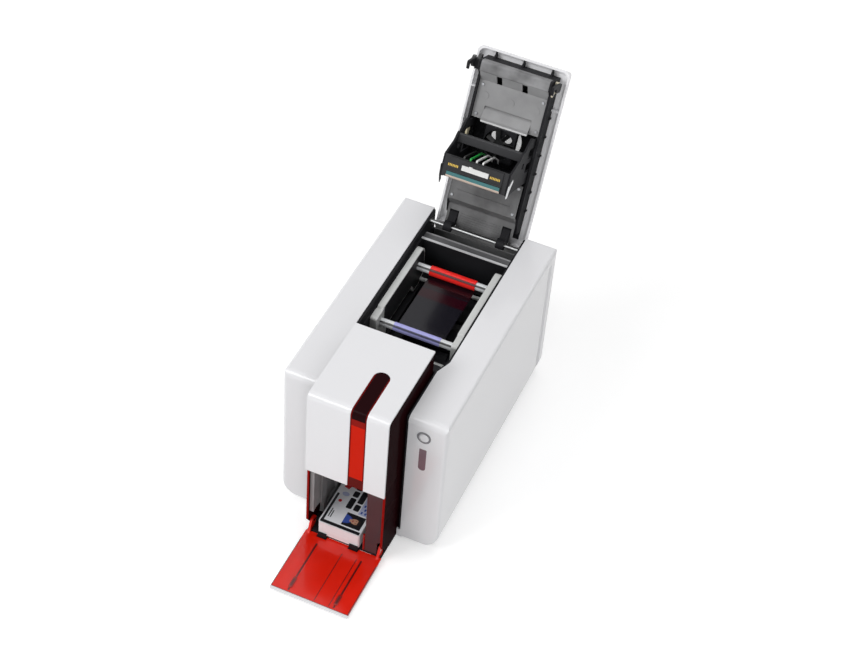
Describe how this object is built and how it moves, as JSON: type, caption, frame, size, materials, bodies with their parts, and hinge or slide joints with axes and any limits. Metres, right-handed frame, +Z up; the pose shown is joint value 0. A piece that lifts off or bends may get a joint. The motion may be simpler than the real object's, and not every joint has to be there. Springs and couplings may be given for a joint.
{
  "type": "id card printer",
  "caption": "Desktop card printer with a card feeder and output hopper in front, a hinged lid that carries the print head, a ribbon cassette bay and a drop-down output door.",
  "frame": {"origin": "middle of the footprint of the whole printer as stored, with its lid open and its output door down, on the surface it stands on", "axes": "+X to the right as seen from the front, +Y from the output door to the back, +Z up"},
  "size_m": [0.205, 0.5748, 0.409],
  "materials": {
    "white_cover": "glossy moulded white",
    "black_chassis": "fine textured black",
    "grey_plate": "fine textured mid grey",
    "dark_plate": "fine textured dark grey",
    "light_grey": "satin light grey",
    "smoked_red": "dark red see-through plastic",
    "clear_red": "bright red see-through plastic",
    "status_window": "tinted see-through plastic",
    "steel": "ground steel",
    "sheet_metal": "plain sheet metal",
    "rubber": "matt black rubber",
    "circuit_board": "green board",
    "card": "white card",
    "red_film": "glossy red film",
    "lilac_film": "glossy lilac film",
    "dark_film": "thin dark see-through film",
    "head_metal": "dark cast metal",
    "white_cable": "white wire and plug"
  },
  "bodies": {
    "base": {"base_pan": "black_chassis", "feet": "rubber", "left_shell": "white_cover", "right_shell": "white_cover", "left_frame": "black_chassis", "right_frame": "black_chassis", "rear_panel": "white_cover", "power_inlet": "black_chassis", "data_ports": "steel", "hinge_rod": "steel", "rear_crossbars": "sheet_metal", "finger_bridge": "black_chassis", "cover_posts": "black_chassis", "bay_liner": "black_chassis", "card_track": "black_chassis", "drive_belt": "rubber", "drive_motor": "dark_plate", "ribbon_motor": "dark_plate", "main_board": "circuit_board", "hopper_walls": "smoked_red", "hopper_tray": "black_chassis", "hopper_back": "black_chassis", "hopper_guides": "grey_plate", "card_pads": "rubber", "feeder_tray": "black_chassis", "blank_cards": "card", "output_cards": "card", "button_bezel": "steel", "status_lens": "status_window", "cassette_frame": "light_grey", "ribbon_web": "dark_film"},
    "lid": {"lid_shell": "white_cover", "lid_frame": "black_chassis", "lid_plate": "grey_plate", "lid_front_bar": "dark_plate", "lid_back_plate": "grey_plate", "head_carriage": "black_chassis", "carriage_bar": "grey_plate", "print_head": "head_metal", "head_cable": "white_cable", "fan_housing": "black_chassis"},
    "latch": {"lid_latch": "black_chassis"},
    "fan": {"fan_rotor": "white_cover"},
    "feeder_cover": {"cover_skin": "white_cover", "cover_liner": "smoked_red"},
    "output_door": {"door_skin": "white_cover", "door_liner": "clear_red"},
    "button": {"control_button": "white_cover"},
    "rocker": {"power_switch": "black_chassis"},
    "platen": {"platen_roller": "rubber"},
    "infeed": {"infeed_roller": "rubber"},
    "transport": {"transport_roller": "rubber"},
    "pickup": {"pickup_roller": "rubber"},
    "motor_shaft": {"motor_pulley": "light_grey"},
    "supply": {"supply_spool": "light_grey", "supply_film": "red_film"},
    "takeup": {"takeup_spool": "light_grey", "takeup_film": "lilac_film", "takeup_gear": "light_grey"},
    "ribbon_shaft": {"ribbon_pinion": "light_grey"}
  },
  "joints": [
    {"name": "lid_hinge", "type": "hinge", "parent": "base", "child": "lid", "pos_m": [0, 0.16217, 0.21], "axis": [1, 0, 0], "range_deg": [0, 115], "deforming": ["ribbon_web"]},
    {"name": "latch_turn", "type": "hinge", "parent": "lid", "child": "latch", "pos_m": [0, 0.25648, 0.39332], "axis": [1, 0, 0], "range_deg": [-8, 0], "stiffness_Nm_per_rad": 0.06, "springref_deg": 8.59},
    {"name": "fan_spin", "type": "hinge", "parent": "lid", "child": "fan", "pos_m": [0, 0.21162, 0.31604], "axis": [0, 0.9063, -0.4226], "continuous": true},
    {"name": "cover_hinge", "type": "hinge", "parent": "base", "child": "feeder_cover", "pos_m": [0, -0.07783, 0.238], "axis": [1, 0, 0], "range_deg": [-70, 0]},
    {"name": "door_hinge", "type": "hinge", "parent": "base", "child": "output_door", "pos_m": [0, -0.18383, 0.017], "axis": [1, 0, 0], "range_deg": [-90, 0]},
    {"name": "button_press", "type": "slide", "parent": "base", "child": "button", "axis": [0, 1, 0], "range_m": [0, 0.0012], "stiffness_N_per_m": 400},
    {"name": "rocker_tip", "type": "hinge", "parent": "base", "child": "rocker", "pos_m": [0.012, 0.17417, 0.036], "axis": [1, 0, 0], "range_deg": [0, 16]},
    {"name": "platen_spin", "type": "hinge", "parent": "base", "child": "platen", "pos_m": [0, 0.07517, 0.13084], "axis": [1, 0, 0], "continuous": true},
    {"name": "infeed_spin", "type": "hinge", "parent": "base", "child": "infeed", "pos_m": [0, -0.04083, 0.13084], "axis": [1, 0, 0], "continuous": true},
    {"name": "transport_spin", "type": "hinge", "parent": "base", "child": "transport", "pos_m": [0, 0.02317, 0.13084], "axis": [1, 0, 0], "continuous": true},
    {"name": "pickup_spin", "type": "hinge", "parent": "base", "child": "pickup", "pos_m": [0, -0.13283, 0.13084], "axis": [1, 0, 0], "continuous": true},
    {"name": "motor_spin", "type": "hinge", "parent": "base", "child": "motor_shaft", "pos_m": [0, -0.00683, 0.06], "axis": [1, 0, 0], "continuous": true},
    {"name": "takeup_spin", "type": "hinge", "parent": "base", "child": "takeup", "pos_m": [0, -0.00483, 0.188], "axis": [1, 0, 0], "continuous": true},
    {"name": "supply_spin", "type": "hinge", "parent": "base", "child": "supply", "pos_m": [0, 0.10217, 0.188], "axis": [1, 0, 0], "continuous": true},
    {"name": "ribbon_pinion_spin", "type": "hinge", "parent": "base", "child": "ribbon_shaft", "pos_m": [0, 0.00917, 0.16375], "axis": [1, 0, 0], "continuous": true}
  ],
  "couplings": [
    {"joint": "infeed_spin", "follows": "platen_spin", "ratio": 1},
    {"joint": "transport_spin", "follows": "platen_spin", "ratio": 1},
    {"joint": "pickup_spin", "follows": "platen_spin", "ratio": 1},
    {"joint": "motor_spin", "follows": "platen_spin", "ratio": 1},
    {"joint": "supply_spin", "follows": "takeup_spin", "ratio": 0.84615},
    {"joint": "ribbon_pinion_spin", "follows": "takeup_spin", "ratio": -3}
  ]
}
